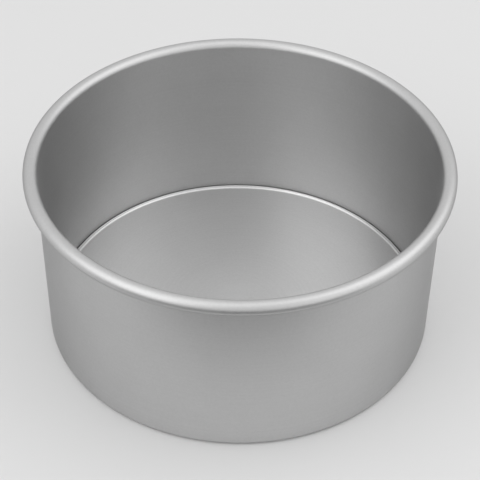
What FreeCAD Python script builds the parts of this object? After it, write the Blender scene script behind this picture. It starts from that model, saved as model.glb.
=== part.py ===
"""Deep round cake tin with a loose base, as a parametric document.

The tin comes apart into three pieces: a drawn aluminium side wall, whose top edge is rolled outwards
round a steel wire and whose bottom edge is turned in as a ledge; that wire; and a pressed aluminium
base with a low turned-up lip, which drops in from above and rests on the ledge.

Frame: millimetres, +Z up, origin on the tin's axis at the plane it stands on.
Every piece is turned about Z, so each sketch is a half section with radius along X and height along Z.
"""

import FreeCAD, Part
import Sketcher
import math
import os

# Driving dimensions: name, millimetres, what it measures.
SIZES = [
    ("mouth_diameter", 203.2, "inside diameter of the wall at the rim"),
    ("height", 101.6, "from the standing plane to the top of the rim"),
    ("wall_taper", 1.7, "how far the wall leans in at its foot, each side"),
    ("wall_sheet", 1.2, "thickness of the wall's sheet"),
    ("foot_bend", 1.8, "inside radius of the bend between wall and ledge"),
    ("ledge_width", 9.0, "how far the ledge reaches in from the wall's inner face"),
    ("wire_diameter", 4.5, "thickness of the rim wire"),
    ("wire_clearance", 0.25, "room between the wire and the sheet rolled round it"),
    ("wire_gap", 1.0, "room between the two butted ends of the wire"),
    ("roll_gap", 0.3, "room between the rolled edge and the wall behind it"),
    ("base_sheet", 1.0, "thickness of the base's sheet"),
    ("base_clearance", 0.3, "room between the base's lip and the wall"),
    ("base_bend", 1.8, "inside radius of the bend that turns the base's edge up"),
    ("lip_height", 2.2, "from the base's underside to the top of its lip"),
]

# The same lengths worked out from the driving dimensions, written as the sheet's expressions.
FOOT_RADIUS = "Sizes.mouth_diameter / 2 - Sizes.wall_taper"
FOOT_CENTRE = f"{FOOT_RADIUS} - Sizes.foot_bend"
ROLL_INSIDE = "Sizes.wire_diameter / 2 + Sizes.wire_clearance"
ROLL_OUTSIDE = f"{ROLL_INSIDE} + Sizes.wall_sheet"
ROLL_CENTRE = f"Sizes.mouth_diameter / 2 + {ROLL_OUTSIDE}"
ROLL_HEIGHT = f"Sizes.height - ({ROLL_OUTSIDE})"
LEDGE_OPENING = f"{FOOT_RADIUS} - Sizes.ledge_width"
BASE_BEND_OUTSIDE = "Sizes.base_bend + Sizes.base_sheet"
LIP_CENTRE = f"{FOOT_RADIUS} - Sizes.base_clearance - Sizes.base_sheet / 2"
LIP_CENTRE_HEIGHT = "Sizes.wall_sheet + Sizes.lip_height - Sizes.base_sheet / 2"

START, END, CENTRE = range(1, 4)  # which point of a sketch element a constraint takes
ORIGIN = -1  # the element whose start is the sketch's origin

doc = FreeCAD.newDocument("cake_tin")


def make_sheet():
    """The spreadsheet that drives the model."""
    sheet = doc.addObject("Spreadsheet::Sheet", "Sizes")
    for row, (name, value, meaning) in enumerate(SIZES, start=1):
        sheet.set(f"A{row}", name)
        sheet.set(f"B{row}", str(value))
        sheet.set(f"C{row}", meaning)
        sheet.setAlias(f"B{row}", name)
    doc.recompute()
    return sheet


def point(x, z):
    """A point of a half section: radius and height."""
    return FreeCAD.Vector(x, z, 0)


def line(start, end):
    return Part.LineSegment(start, end)


def arc(centre, radius, start_angle, end_angle):
    """An arc drawn anticlockwise, with its angles in radians."""
    circle = Part.Circle(centre, FreeCAD.Vector(0, 0, 1), radius)
    return Part.ArcOfCircle(circle, start_angle, end_angle)


def polar(centre, radius, angle):
    """The point of a circle at an angle in radians."""
    return centre + point(radius * math.cos(angle), radius * math.sin(angle))


def new_body(label):
    """An empty body, with a sketch on its own upright plane."""
    body = doc.addObject("PartDesign::Body", label)
    body.Label = label
    sketch = body.newObject("Sketcher::SketchObject", f"{label}_section")
    upright = next(f for f in body.Origin.OriginFeatures if f.Role == "XZ_Plane")
    sketch.AttachmentSupport = [(upright, "")]
    sketch.MapMode = "FlatFace"
    return body, sketch


def drive(sketch, name, expression, *constraint):
    """A dimension of the sketch, named and bound to the sheet."""
    index = sketch.addConstraint(Sketcher.Constraint(*constraint))
    sketch.renameConstraint(index, name)
    sketch.setExpression(f"Constraints.{name}", expression)


def relate(sketch, *constraint):
    """A relation of the sketch that has no size."""
    sketch.addConstraint(Sketcher.Constraint(*constraint))


def turn(body, sketch, angle):
    """Turns the half section about Z, through an angle given as the sheet's expression."""
    turned = body.newObject("PartDesign::Revolution", f"{body.Label}_turned")
    turned.Profile = sketch
    turned.ReferenceAxis = (sketch, ["V_Axis"])
    turned.setExpression("Angle", angle)
    sketch.Visibility = False
    body.Tip = turned
    return body


def make_side_wall(sheet):
    """One sheet all the way: ledge, bend, tapered wall, then the roll round the wire."""
    body, sketch = new_body("side_wall")
    thick = sheet.wall_sheet
    foot_radius = sheet.mouth_diameter / 2 - sheet.wall_taper
    bend_in = sheet.foot_bend
    bend_out = bend_in + thick
    foot = point(foot_radius - bend_in, bend_out)
    roll_in = sheet.wire_diameter / 2 + sheet.wire_clearance
    roll_out = roll_in + thick
    roll = point(sheet.mouth_diameter / 2 + roll_out, sheet.height - roll_out)
    ledge = point(foot_radius - sheet.ledge_width + thick / 2, thick / 2)

    # The wall is tangent to both bends, so its outward normal follows from their centres.
    across = roll - foot
    normal = math.atan2(across.y, across.x) - math.acos((bend_in + roll_out) / across.Length)
    roll_start = normal + math.pi
    roll_end = normal - math.acos((sheet.roll_gap - roll_in) / roll_out)
    down = -math.pi / 2

    (ledge_under, bend_outer, wall_outer, roll_inner, cut_edge,
     roll_outer, wall_inner, bend_inner, ledge_top, ledge_edge) = sketch.addGeometry([
        line(point(ledge.x, 0), point(foot.x, 0)),
        arc(foot, bend_out, down, normal),
        line(polar(foot, bend_out, normal), polar(roll, roll_in, roll_start)),
        arc(roll, roll_in, roll_end, roll_start),
        line(polar(roll, roll_in, roll_end), polar(roll, roll_out, roll_end)),
        arc(roll, roll_out, roll_end, roll_start),
        line(polar(roll, roll_out, roll_start), polar(foot, bend_in, normal)),
        arc(foot, bend_in, down, normal),
        line(point(foot.x, thick), point(ledge.x, thick)),
        arc(ledge, thick / 2, math.pi / 2, 3 * math.pi / 2),
    ])

    relate(sketch, "Tangent", ledge_under, END, bend_outer, START)
    relate(sketch, "Tangent", bend_outer, END, wall_outer, START)
    relate(sketch, "Tangent", wall_outer, END, roll_inner, END)
    relate(sketch, "Coincident", roll_inner, START, cut_edge, START)
    relate(sketch, "Coincident", cut_edge, END, roll_outer, START)
    relate(sketch, "Tangent", roll_outer, END, wall_inner, START)
    relate(sketch, "Tangent", wall_inner, END, bend_inner, END)
    relate(sketch, "Tangent", bend_inner, START, ledge_top, START)
    relate(sketch, "Tangent", ledge_top, END, ledge_edge, START)
    relate(sketch, "Tangent", ledge_edge, END, ledge_under, START)
    relate(sketch, "Coincident", bend_outer, CENTRE, bend_inner, CENTRE)
    relate(sketch, "Coincident", roll_inner, CENTRE, roll_outer, CENTRE)
    relate(sketch, "PointOnObject", roll_outer, CENTRE, cut_edge)
    relate(sketch, "Horizontal", ORIGIN, START, ledge_under, START)
    relate(sketch, "Horizontal", ledge_under)
    relate(sketch, "Horizontal", ledge_top)

    drive(sketch, "foot_bend", "Sizes.foot_bend", "Radius", bend_inner, bend_in)
    drive(sketch, "foot_bend_outside", "Sizes.foot_bend + Sizes.wall_sheet", "Radius", bend_outer, bend_out)
    drive(sketch, "foot_centre", FOOT_CENTRE, "DistanceX", ORIGIN, START, bend_outer, CENTRE, foot.x)
    drive(sketch, "roll_inside", ROLL_INSIDE, "Radius", roll_inner, roll_in)
    drive(sketch, "roll_outside", ROLL_OUTSIDE, "Radius", roll_outer, roll_out)
    drive(sketch, "roll_centre", ROLL_CENTRE, "DistanceX", ORIGIN, START, roll_outer, CENTRE, roll.x)
    drive(sketch, "roll_height", ROLL_HEIGHT, "DistanceY", ORIGIN, START, roll_outer, CENTRE, roll.y)
    drive(sketch, "roll_gap", "Sizes.roll_gap", "Distance", cut_edge, END, wall_outer, sheet.roll_gap)
    drive(sketch, "ledge_edge", f"{LEDGE_OPENING} + Sizes.wall_sheet / 2",
          "DistanceX", ORIGIN, START, ledge_edge, CENTRE, ledge.x)
    return turn(body, sketch, "360")


def make_rim_wire(sheet):
    """The wire inside the roll: a round ring whose two ends butt with a small gap."""
    body, sketch = new_body("rim_wire")
    radius = sheet.wire_diameter / 2
    roll_out = radius + sheet.wire_clearance + sheet.wall_sheet
    centre = point(sheet.mouth_diameter / 2 + roll_out, sheet.height - roll_out)
    section = sketch.addGeometry(Part.Circle(centre, FreeCAD.Vector(0, 0, 1), radius))

    drive(sketch, "wire_radius", "Sizes.wire_diameter / 2", "Radius", section, radius)
    drive(sketch, "ring_radius", ROLL_CENTRE, "DistanceX", ORIGIN, START, section, CENTRE, centre.x)
    drive(sketch, "ring_height", ROLL_HEIGHT, "DistanceY", ORIGIN, START, section, CENTRE, centre.y)
    return turn(body, sketch, f"360 - Sizes.wire_gap / ({ROLL_CENTRE}) * 180 / pi")


def make_loose_base(sheet):
    """A flat floor whose edge turns up in a short bend and ends round; it rests on the ledge."""
    body, sketch = new_body("loose_base")
    thick = sheet.base_sheet
    seat = sheet.wall_sheet
    floor = seat + thick
    bend_in = sheet.base_bend
    bend_out = bend_in + thick
    bend_middle = bend_in + thick / 2
    lip_radius = sheet.mouth_diameter / 2 - sheet.wall_taper - sheet.base_clearance
    lip = point(lip_radius - thick / 2, seat + sheet.lip_height - thick / 2)

    # The lip's round end sits on the middle of the bent sheet, so its height gives the bend's angle.
    lip_turn = math.asin((lip.y - floor - bend_in) / bend_middle)
    bend = polar(lip, bend_middle, lip_turn + math.pi)
    down = -math.pi / 2

    underside, bend_outer, lip_end, bend_inner, floor_top, axis = sketch.addGeometry([
        line(point(0, seat), point(bend.x, seat)),
        arc(bend, bend_out, down, lip_turn),
        arc(lip, thick / 2, lip_turn, lip_turn + math.pi),
        arc(bend, bend_in, down, lip_turn),
        line(point(bend.x, floor), point(0, floor)),
        line(point(0, floor), point(0, seat)),
    ])

    relate(sketch, "Tangent", underside, END, bend_outer, START)
    relate(sketch, "Tangent", bend_outer, END, lip_end, START)
    relate(sketch, "Tangent", lip_end, END, bend_inner, END)
    relate(sketch, "Tangent", bend_inner, START, floor_top, START)
    relate(sketch, "Coincident", floor_top, END, axis, START)
    relate(sketch, "Coincident", axis, END, underside, START)
    relate(sketch, "Coincident", bend_outer, CENTRE, bend_inner, CENTRE)
    relate(sketch, "Vertical", ORIGIN, START, underside, START)
    relate(sketch, "Vertical", axis)
    relate(sketch, "Horizontal", underside)
    relate(sketch, "Horizontal", floor_top)

    drive(sketch, "seat_height", "Sizes.wall_sheet", "DistanceY", ORIGIN, START, underside, START, seat)
    drive(sketch, "base_bend", "Sizes.base_bend", "Radius", bend_inner, bend_in)
    drive(sketch, "base_bend_outside", BASE_BEND_OUTSIDE, "Radius", bend_outer, bend_out)
    drive(sketch, "lip_centre", LIP_CENTRE, "DistanceX", ORIGIN, START, lip_end, CENTRE, lip.x)
    drive(sketch, "lip_centre_height", LIP_CENTRE_HEIGHT,
          "DistanceY", ORIGIN, START, lip_end, CENTRE, lip.y)
    return turn(body, sketch, "360")


def check(bodies):
    """Stops with a plain message if anything in the document failed."""
    doc.recompute()
    for thing in doc.Objects:
        if "Invalid" in thing.State or "Error" in thing.State:
            raise RuntimeError(f"{thing.Label} failed: {thing.State}")
    for body in bodies:
        shape = body.Shape
        if shape.isNull() or not shape.isValid() or len(shape.Solids) != 1:
            raise RuntimeError(f"{body.Label} isn't one valid solid")


def write_parts(bodies):
    """Writes each piece to a file named after it."""
    os.makedirs("parts", exist_ok=True)
    for body in bodies:
        body.Shape.exportStep(f"parts/{body.Label}.step")
        box = body.Shape.optimalBoundingBox(False)
        print(f"{body.Label}: {box.XLength:.2f} x {box.YLength:.2f} x {box.ZLength:.2f} mm, "
              f"from z {box.ZMin:.2f}, volume {body.Shape.Volume:.1f} mm3")


sizes = make_sheet()
pieces = [make_side_wall(sizes), make_rim_wire(sizes), make_loose_base(sizes)]
check(pieces)
write_parts(pieces)
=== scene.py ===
"""Looks of the round cake tin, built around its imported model.

The three pieces are turned again from fine half sections, so that the rolled rim, the bends and the
base's lip are smooth from close up. Wall and base are satin anodised aluminium, and the wire inside
the rim is galvanised steel.

Metres, +Z up, origin on the tin's axis at the plane it stands on.
"""

import math

import bpy
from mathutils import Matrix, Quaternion, Vector


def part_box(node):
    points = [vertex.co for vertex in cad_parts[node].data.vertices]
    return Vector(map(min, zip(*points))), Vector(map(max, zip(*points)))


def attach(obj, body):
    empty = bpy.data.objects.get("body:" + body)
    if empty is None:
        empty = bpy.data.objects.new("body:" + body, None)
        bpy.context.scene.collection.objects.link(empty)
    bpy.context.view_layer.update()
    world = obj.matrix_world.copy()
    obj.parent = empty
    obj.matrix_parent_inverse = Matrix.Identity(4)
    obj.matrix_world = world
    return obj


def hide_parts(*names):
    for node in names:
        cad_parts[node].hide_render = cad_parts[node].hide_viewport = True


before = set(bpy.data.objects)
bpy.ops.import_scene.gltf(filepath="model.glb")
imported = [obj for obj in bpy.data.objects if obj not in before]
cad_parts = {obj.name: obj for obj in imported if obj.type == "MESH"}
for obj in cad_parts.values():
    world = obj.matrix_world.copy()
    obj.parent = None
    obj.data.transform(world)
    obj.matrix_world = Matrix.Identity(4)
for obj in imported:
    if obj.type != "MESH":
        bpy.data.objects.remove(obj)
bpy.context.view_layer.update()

FULL_TURN = 2 * math.pi
UP, DOWN = math.pi / 2, -math.pi / 2

# Sizes read from the parts imported from model.glb.
wall_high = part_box("side_wall")[1]
wire_low, wire_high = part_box("rim_wire")
base_low, base_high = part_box("loose_base")
RIM_RADIUS = wall_high.x
HEIGHT = wall_high.z
WALL_SHEET = base_low.z  # the base rests on the ledge, which is one sheet thick
WIRE_RADIUS = (wire_high.z - wire_low.z) / 2
LIP_RADIUS = base_high.x
LIP_TOP = base_high.z

# Sizes of the bends and gaps, as in the CAD model.
ROLL_RADIUS = 0.0037
ROLL_GAP = 0.0003
WALL_TAPER = 0.0017
FOOT_BEND = 0.0018
LEDGE_WIDTH = 0.009
WIRE_GAP = 0.001
BASE_SHEET = 0.001
BASE_BEND = 0.0018
ROLL_CENTRE = Vector((RIM_RADIUS - ROLL_RADIUS, HEIGHT - ROLL_RADIUS))

# Rounding of the rolled sheet's cut edge, which the CAD model leaves sharp.
EDGE_ROUND = 0.00008

# Fineness of the turned meshes.
COLUMNS = 288
ARC_STEP = math.radians(6)
ARC_LEAST_STEPS = 4
RING_STEP = 0.006

# Camera that matches the photograph's frame.
LENS_MM = 124.25
CAMERA_AIM = Vector((0, 0, 0.05))
CAMERA_DISTANCE = 0.865
CAMERA_ELEVATION = math.radians(40.92)
CAMERA_PITCH = math.radians(0.138)
CAMERA_YAW = math.radians(0.031)
CAMERA_ROLL = math.radians(0.695)

# The metals' texture: the size of its spots and marks, and how many finer layers each noise has.
CLOUD_SIZE = 0.02
CLOUD_DETAIL = 2
GRAIN_SIZE = 0.0012
GRAIN_DETAIL = 2
GRAIN_DEPTH = 0.000004
MARK_SIZE = 0.0012
MARK_DETAIL = 3
SPANGLE_SIZE = 0.003
SPANGLE_DETAIL = 3
MIDDLE_SHARES = (0.25, 0.75)  # the stretch of a noise in which nearly all of it lies
GRAIN_SHARE = 0.7  # of the grain, beside the clouding
ACROSS_SHARE = 0.25  # a quarter turn, as a share of a whole one
EDGE_SHARE = 0.4  # how bright the metal stays at a grazing view
TINT_SHARES = (0.94, 1.06)  # the aluminium's darkest and palest grain

# The pieces' finishes. A pair holds what the texture's low and high ends give.
WALL_FINISH = {"tone": 0.6, "marks_share": 0.3, "roughness": (0.42, 0.48), "brushing": 0.3}
BASE_FINISH = {"tone": 0.68, "marks_share": 0.35, "roughness": (0.29, 0.35), "brushing": 0.5}
STEEL_TINTS = ((0.48, 0.49, 0.5), (0.56, 0.57, 0.58))
STEEL_ROUGHNESS = (0.4, 0.55)

# A plain pale floor, and a dark card that lies on it in front of the tin, below the picture. The upper
# wall reflects the card, so it is darker than the wall's foot.
FLOOR_SIZE = 8.0
FLOOR_TONE = 0.7
CARD_WIDTH = 1.0
CARD_START = -0.19
CARD_END = -0.9
CARD_HEIGHT = 0.001
CARD_TONE = 0.12

# The studio's light: an even room, and softboxes that face the tin. For each, the azimuth from the
# camera's side and the elevation in degrees, the distance, width and height, and the radiance.
ROOM_RADIANCE = 0.83
SOFTBOXES = [
    ("top", 0, 84, 1.1, 1.4, 0.8, 0.42),
    ("left", -60, 42, 1.0, 1.0, 0.8, 0.78),
    ("right", 97, 45, 1.0, 1.0, 0.8, 0.72),
    ("front_left", -45, 22, 1.0, 0.8, 0.5, 0.33),
    ("front_right", 45, 22, 1.0, 0.8, 0.5, 0.36),
]


def towards(angle):
    """Unit vector in a half section, which has radius along x and height along y."""
    return Vector((math.cos(angle), math.sin(angle)))


def arc(centre, radius, start, end, facing=1):
    """Points of an arc with their normals, which face the centre where facing is -1."""
    steps = max(ARC_LEAST_STEPS, math.ceil(abs(end - start) / ARC_STEP))
    angles = [start + (end - start) * step / steps for step in range(steps + 1)]
    return [(centre + towards(a) * radius, towards(a) * facing) for a in angles]


def rounded(corner, radius, start, end):
    """A small arc that rounds a convex corner between faces with normals at these angles."""
    half_turn = (start - end) / 2
    middle = (start + end) / 2
    centre = corner - towards(middle) * (radius / math.cos(half_turn))
    return arc(centre, radius, start, end)


def spaced(outline):
    """The outline with more points on its long straight runs."""
    full = outline[:1]
    for (start, normal), (end, end_normal) in zip(outline, outline[1:]):
        steps = max(1, math.ceil((end - start).length / RING_STEP))
        full += [(start.lerp(end, step / steps), normal) for step in range(1, steps)]
        full.append((end, end_normal))
    return full


def wall_section():
    """Half section of the side wall: ledge, foot bend, wall and the roll round the wire."""
    foot_radius = RIM_RADIUS - 2 * ROLL_RADIUS - WALL_TAPER
    foot = Vector((foot_radius - FOOT_BEND, WALL_SHEET + FOOT_BEND))
    ledge = Vector((foot_radius - LEDGE_WIDTH + WALL_SHEET / 2, WALL_SHEET / 2))
    roll = ROLL_CENTRE
    roll_inside = ROLL_RADIUS - WALL_SHEET

    # The wall is tangent to the foot bend and the roll, so their centres give its outward normal.
    across = roll - foot
    lean = math.atan2(across.y, across.x) - math.acos((FOOT_BEND + ROLL_RADIUS) / across.length)
    roll_start = lean + math.pi
    roll_end = lean - math.acos((ROLL_GAP - roll_inside) / ROLL_RADIUS)
    cut_outer = roll + towards(roll_end) * ROLL_RADIUS
    cut_inner = roll + towards(roll_end) * roll_inside
    cut_face = roll_end - math.pi / 2

    outline = arc(foot, FOOT_BEND, DOWN, lean, facing=-1)
    outline += arc(roll, ROLL_RADIUS, roll_start, roll_end + EDGE_ROUND / ROLL_RADIUS)
    outline += rounded(cut_outer, EDGE_ROUND, roll_end, cut_face)
    outline += rounded(cut_inner, EDGE_ROUND, cut_face, roll_end - math.pi)
    outline += arc(roll, roll_inside, roll_end + EDGE_ROUND / roll_inside, roll_start, facing=-1)
    outline += arc(foot, FOOT_BEND + WALL_SHEET, lean, DOWN)
    outline += arc(ledge, WALL_SHEET / 2, DOWN, DOWN - math.pi)
    return spaced(outline + outline[:1])[:-1]


def base_section():
    """Half section of the loose base: a flat floor whose edge turns up in a bend and ends round."""
    floor = base_low.z + BASE_SHEET
    half_sheet = BASE_SHEET / 2
    bend_middle = BASE_BEND + half_sheet
    lip = Vector((LIP_RADIUS - half_sheet, LIP_TOP - half_sheet))
    lip_turn = math.asin((lip.y - floor - BASE_BEND) / bend_middle)
    bend = lip - towards(lip_turn) * bend_middle

    outline = [(Vector((0, floor)), towards(UP))]
    outline += arc(bend, BASE_BEND, DOWN, lip_turn, facing=-1)
    outline += arc(lip, half_sheet, lip_turn + math.pi, lip_turn)[1:]
    outline += arc(bend, BASE_BEND + BASE_SHEET, lip_turn, DOWN)[1:]
    outline += [(Vector((0, base_low.z)), towards(DOWN))]
    return spaced(outline)


def wire_section():
    """Section of the wire, in the middle of the roll."""
    return arc(ROLL_CENTRE, WIRE_RADIUS, 0, -FULL_TURN)[:-1]


def turned(name, section, closed, sweep=FULL_TURN):
    """A mesh turned about Z from a half section, with the section's own normals."""
    whole = sweep == FULL_TURN
    columns = COLUMNS if whole else COLUMNS + 1
    angles = [sweep * column / COLUMNS for column in range(columns)]
    points, normals, rings = [], [], []
    for point, normal in section:
        on_axis = point.x == 0
        first = len(points)
        rings.append([first] * columns if on_axis else list(range(first, first + columns)))
        for angle in angles[:1] if on_axis else angles:
            points.append((point.x * math.cos(angle), point.x * math.sin(angle), point.y))
            normals.append((normal.x * math.cos(angle), normal.x * math.sin(angle), normal.y))

    faces, corners = [], []
    pairs = list(zip(rings, rings[1:]))
    if closed:
        pairs.append((rings[-1], rings[0]))
    for near, far in pairs:
        for column in range(COLUMNS):
            beside = (column + 1) % columns
            loop = [near[column], far[column], far[beside], near[beside]]
            face = list(dict.fromkeys(loop))
            faces.append(face)
            corners += [normals[index] for index in face]
    if not whole:
        ends = [([ring[0] for ring in rings], (0, -1, 0)),
                ([ring[-1] for ring in reversed(rings)], (-math.sin(sweep), math.cos(sweep), 0))]
        for face, normal in ends:
            faces.append(face)
            corners += [normal] * len(face)

    mesh = bpy.data.meshes.new(name)
    mesh.from_pydata(points, [], faces)
    mesh.shade_smooth()
    mesh.normals_split_custom_set(corners)
    piece = bpy.data.objects.new(name, mesh)
    bpy.context.scene.collection.objects.link(piece)
    return piece


def new_material(name):
    """A node material, and its shader, which is joined to its output."""
    material = bpy.data.materials.new(name)
    material.use_nodes = True
    tree = material.node_tree
    tree.nodes.clear()
    shader = tree.nodes.new("ShaderNodeBsdfPrincipled")
    output = tree.nodes.new("ShaderNodeOutputMaterial")
    tree.links.new(shader.outputs["BSDF"], output.inputs["Surface"])
    return material, shader


def surface_point(tree):
    """Each point of the piece, in the piece's own coordinates."""
    return tree.nodes.new("ShaderNodeTexCoord").outputs["Object"]


def turning_point(tree):
    """Radius and height of each point: they stay the same all the way round, as a lathe's marks do."""
    split = tree.nodes.new("ShaderNodeSeparateXYZ")
    level = tree.nodes.new("ShaderNodeCombineXYZ")
    radius = tree.nodes.new("ShaderNodeVectorMath")
    radius.operation = "LENGTH"
    both = tree.nodes.new("ShaderNodeCombineXYZ")
    tree.links.new(surface_point(tree), split.inputs["Vector"])
    tree.links.new(split.outputs["X"], level.inputs["X"])
    tree.links.new(split.outputs["Y"], level.inputs["Y"])
    tree.links.new(level.outputs["Vector"], radius.inputs[0])
    tree.links.new(radius.outputs["Value"], both.inputs["X"])
    tree.links.new(split.outputs["Z"], both.inputs["Y"])
    return both.outputs["Vector"]


def noise(tree, point, size, detail):
    """Noise from 0 to 1 whose spots are about this size in metres."""
    texture = tree.nodes.new("ShaderNodeTexNoise")
    texture.inputs["Scale"].default_value = 1 / size
    texture.inputs["Detail"].default_value = detail
    tree.links.new(point, texture.inputs["Vector"])
    return texture.outputs["Fac"]


def blend(tree, first, second, second_share):
    """Two noises in one, with this share of the second."""
    mix = tree.nodes.new("ShaderNodeMix")
    mix.data_type = "FLOAT"
    mix.inputs["Factor"].default_value = second_share
    tree.links.new(first, mix.inputs["A"])
    tree.links.new(second, mix.inputs["B"])
    return mix.outputs["Result"]


def spread(tree, value, low, high):
    """A noise's middle stretch, taken from low to high."""
    scale = tree.nodes.new("ShaderNodeMapRange")
    scale.inputs["From Min"].default_value = MIDDLE_SHARES[0]
    scale.inputs["From Max"].default_value = MIDDLE_SHARES[1]
    scale.inputs["To Min"].default_value = low
    scale.inputs["To Max"].default_value = high
    tree.links.new(value, scale.inputs["Value"])
    return scale.outputs["Result"]


def rough_metal(name, tints, roughness, texture_of, brushing):
    """A bare metal whose tint and roughness follow one texture, with a fine bump from it.

    Brushing runs round the tin, so it stretches reflections across that direction.
    """
    material, shader = new_material(name)
    tree = material.node_tree
    texture = texture_of(tree)
    shader.inputs["Metallic"].default_value = 1
    shader.inputs["Specular Tint"].default_value = (EDGE_SHARE, EDGE_SHARE, EDGE_SHARE, 1)
    tint = tree.nodes.new("ShaderNodeMix")
    tint.data_type = "RGBA"
    tint.inputs["A"].default_value = (*tints[0], 1)
    tint.inputs["B"].default_value = (*tints[1], 1)
    tree.links.new(spread(tree, texture, 0, 1), tint.inputs["Factor"])
    tree.links.new(tint.outputs["Result"], shader.inputs["Base Color"])
    tree.links.new(spread(tree, texture, *roughness), shader.inputs["Roughness"])
    bump = tree.nodes.new("ShaderNodeBump")
    bump.inputs["Distance"].default_value = GRAIN_DEPTH
    tree.links.new(texture, bump.inputs["Height"])
    tree.links.new(bump.outputs["Normal"], shader.inputs["Normal"])
    around = tree.nodes.new("ShaderNodeTangent")
    around.direction_type = "RADIAL"
    around.axis = "Z"
    tree.links.new(around.outputs["Tangent"], shader.inputs["Tangent"])
    shader.inputs["Anisotropic"].default_value = brushing
    shader.inputs["Anisotropic Rotation"].default_value = ACROSS_SHARE
    return material


def anodised_texture(marks_share):
    """Etched grain and soft clouding, with this share of faint marks round the tin."""
    def texture(tree):
        clouds = noise(tree, surface_point(tree), CLOUD_SIZE, CLOUD_DETAIL)
        grain = noise(tree, surface_point(tree), GRAIN_SIZE, GRAIN_DETAIL)
        marks = noise(tree, turning_point(tree), MARK_SIZE, MARK_DETAIL)
        return blend(tree, blend(tree, clouds, grain, GRAIN_SHARE), marks, marks_share)
    return texture


def anodised_aluminium(name, tone, marks_share, roughness, brushing):
    """Satin aluminium with a clear anodised finish."""
    tints = [(tone * share,) * 3 for share in TINT_SHARES]
    return rough_metal(name, tints, roughness, anodised_texture(marks_share), brushing)


def galvanised_steel(name):
    """Dull zinc-coated steel with small spangles."""
    def spangle(tree):
        return noise(tree, surface_point(tree), SPANGLE_SIZE, SPANGLE_DETAIL)
    return rough_metal(name, STEEL_TINTS, STEEL_ROUGHNESS, spangle, brushing=0)


def place(piece, node, body, material):
    """Puts a finished piece in the place of its CAD node."""
    piece.data.materials.append(material)
    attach(piece, body)
    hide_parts(node)


def outward(azimuth, elevation):
    """Unit vector away from the tin. Azimuth is 0 on the camera's side and grows to its right."""
    level = math.cos(elevation)
    return Vector((math.sin(azimuth) * level, -math.cos(azimuth) * level, math.sin(elevation)))


def make_camera():
    """The camera, a little off its aim as the photograph's is."""
    data = bpy.data.cameras.new("camera")
    data.lens = LENS_MM
    camera = bpy.data.objects.new("camera", data)
    bpy.context.scene.collection.objects.link(camera)
    camera.location = CAMERA_AIM + outward(0, CAMERA_ELEVATION) * CAMERA_DISTANCE
    ahead = -outward(-CAMERA_YAW, CAMERA_ELEVATION + CAMERA_PITCH)
    camera.rotation_mode = "QUATERNION"
    camera.rotation_quaternion = ahead.to_track_quat("-Z", "Y") @ Quaternion((0, 0, 1), CAMERA_ROLL)
    bpy.context.scene.camera = camera


def studio_sheet(name, start, end, height, tone):
    """A flat matt sheet of the studio, level, between two corners."""
    (left, front), (right, back) = start, end
    corners = [(left, front), (right, front), (right, back), (left, back)]
    mesh = bpy.data.meshes.new(name)
    mesh.from_pydata([(*corner, height) for corner in corners], [], [(0, 1, 2, 3)])
    sheet = bpy.data.objects.new(name, mesh)
    bpy.context.scene.collection.objects.link(sheet)
    material, shader = new_material(name)
    shader.inputs["Base Color"].default_value = (tone, tone, tone, 1)
    shader.inputs["Roughness"].default_value = 1
    shader.inputs["Specular IOR Level"].default_value = 0
    mesh.materials.append(material)
    return sheet


def make_studio():
    """The floor, and the card, which only reflections show."""
    half_floor, half_card = FLOOR_SIZE / 2, CARD_WIDTH / 2
    studio_sheet("floor", (-half_floor, -half_floor), (half_floor, half_floor), 0, FLOOR_TONE)
    card = studio_sheet("card", (-half_card, CARD_END), (half_card, CARD_START), CARD_HEIGHT, CARD_TONE)
    card.visible_camera = False
    card.visible_diffuse = False
    card.visible_shadow = False


def softbox(name, azimuth, elevation, distance, width, height, radiance):
    """A large area lamp that faces the middle of the tin."""
    data = bpy.data.lights.new(name, "AREA")
    data.shape = "RECTANGLE"
    data.size = width
    data.size_y = height
    data.energy = radiance * math.pi * width * height
    away = outward(math.radians(azimuth), math.radians(elevation))
    lamp = bpy.data.objects.new(name, data)
    lamp.location = Vector((0, 0, HEIGHT / 2)) + away * distance
    lamp.rotation_mode = "QUATERNION"
    lamp.rotation_quaternion = away.to_track_quat("Z", "Y")
    bpy.context.scene.collection.objects.link(lamp)


def make_lights():
    """A soft studio: an even room and the softboxes."""
    world = bpy.data.worlds.new("studio")
    bpy.context.scene.world = world
    world.use_nodes = True
    room = world.node_tree.nodes["Background"]
    room.inputs["Color"].default_value = (1, 1, 1, 1)
    room.inputs["Strength"].default_value = ROOM_RADIANCE
    for box in SOFTBOXES:
        softbox(*box)


wall_metal = anodised_aluminium("anodised_wall", **WALL_FINISH)
base_metal = anodised_aluminium("anodised_base", **BASE_FINISH)
wire_metal = galvanised_steel("galvanised_wire")

wall = turned("wall", wall_section(), closed=True)
place(wall, "side_wall", "tin", wall_metal)
base = turned("base", base_section(), closed=False)
place(base, "loose_base", "base", base_metal)
wire_sweep = FULL_TURN - WIRE_GAP / ROLL_CENTRE.x
wire = turned("wire", wire_section(), closed=True, sweep=wire_sweep)
place(wire, "rim_wire", "tin", wire_metal)

make_camera()
make_studio()
make_lights()
bpy.context.scene.view_settings.view_transform = "Standard"
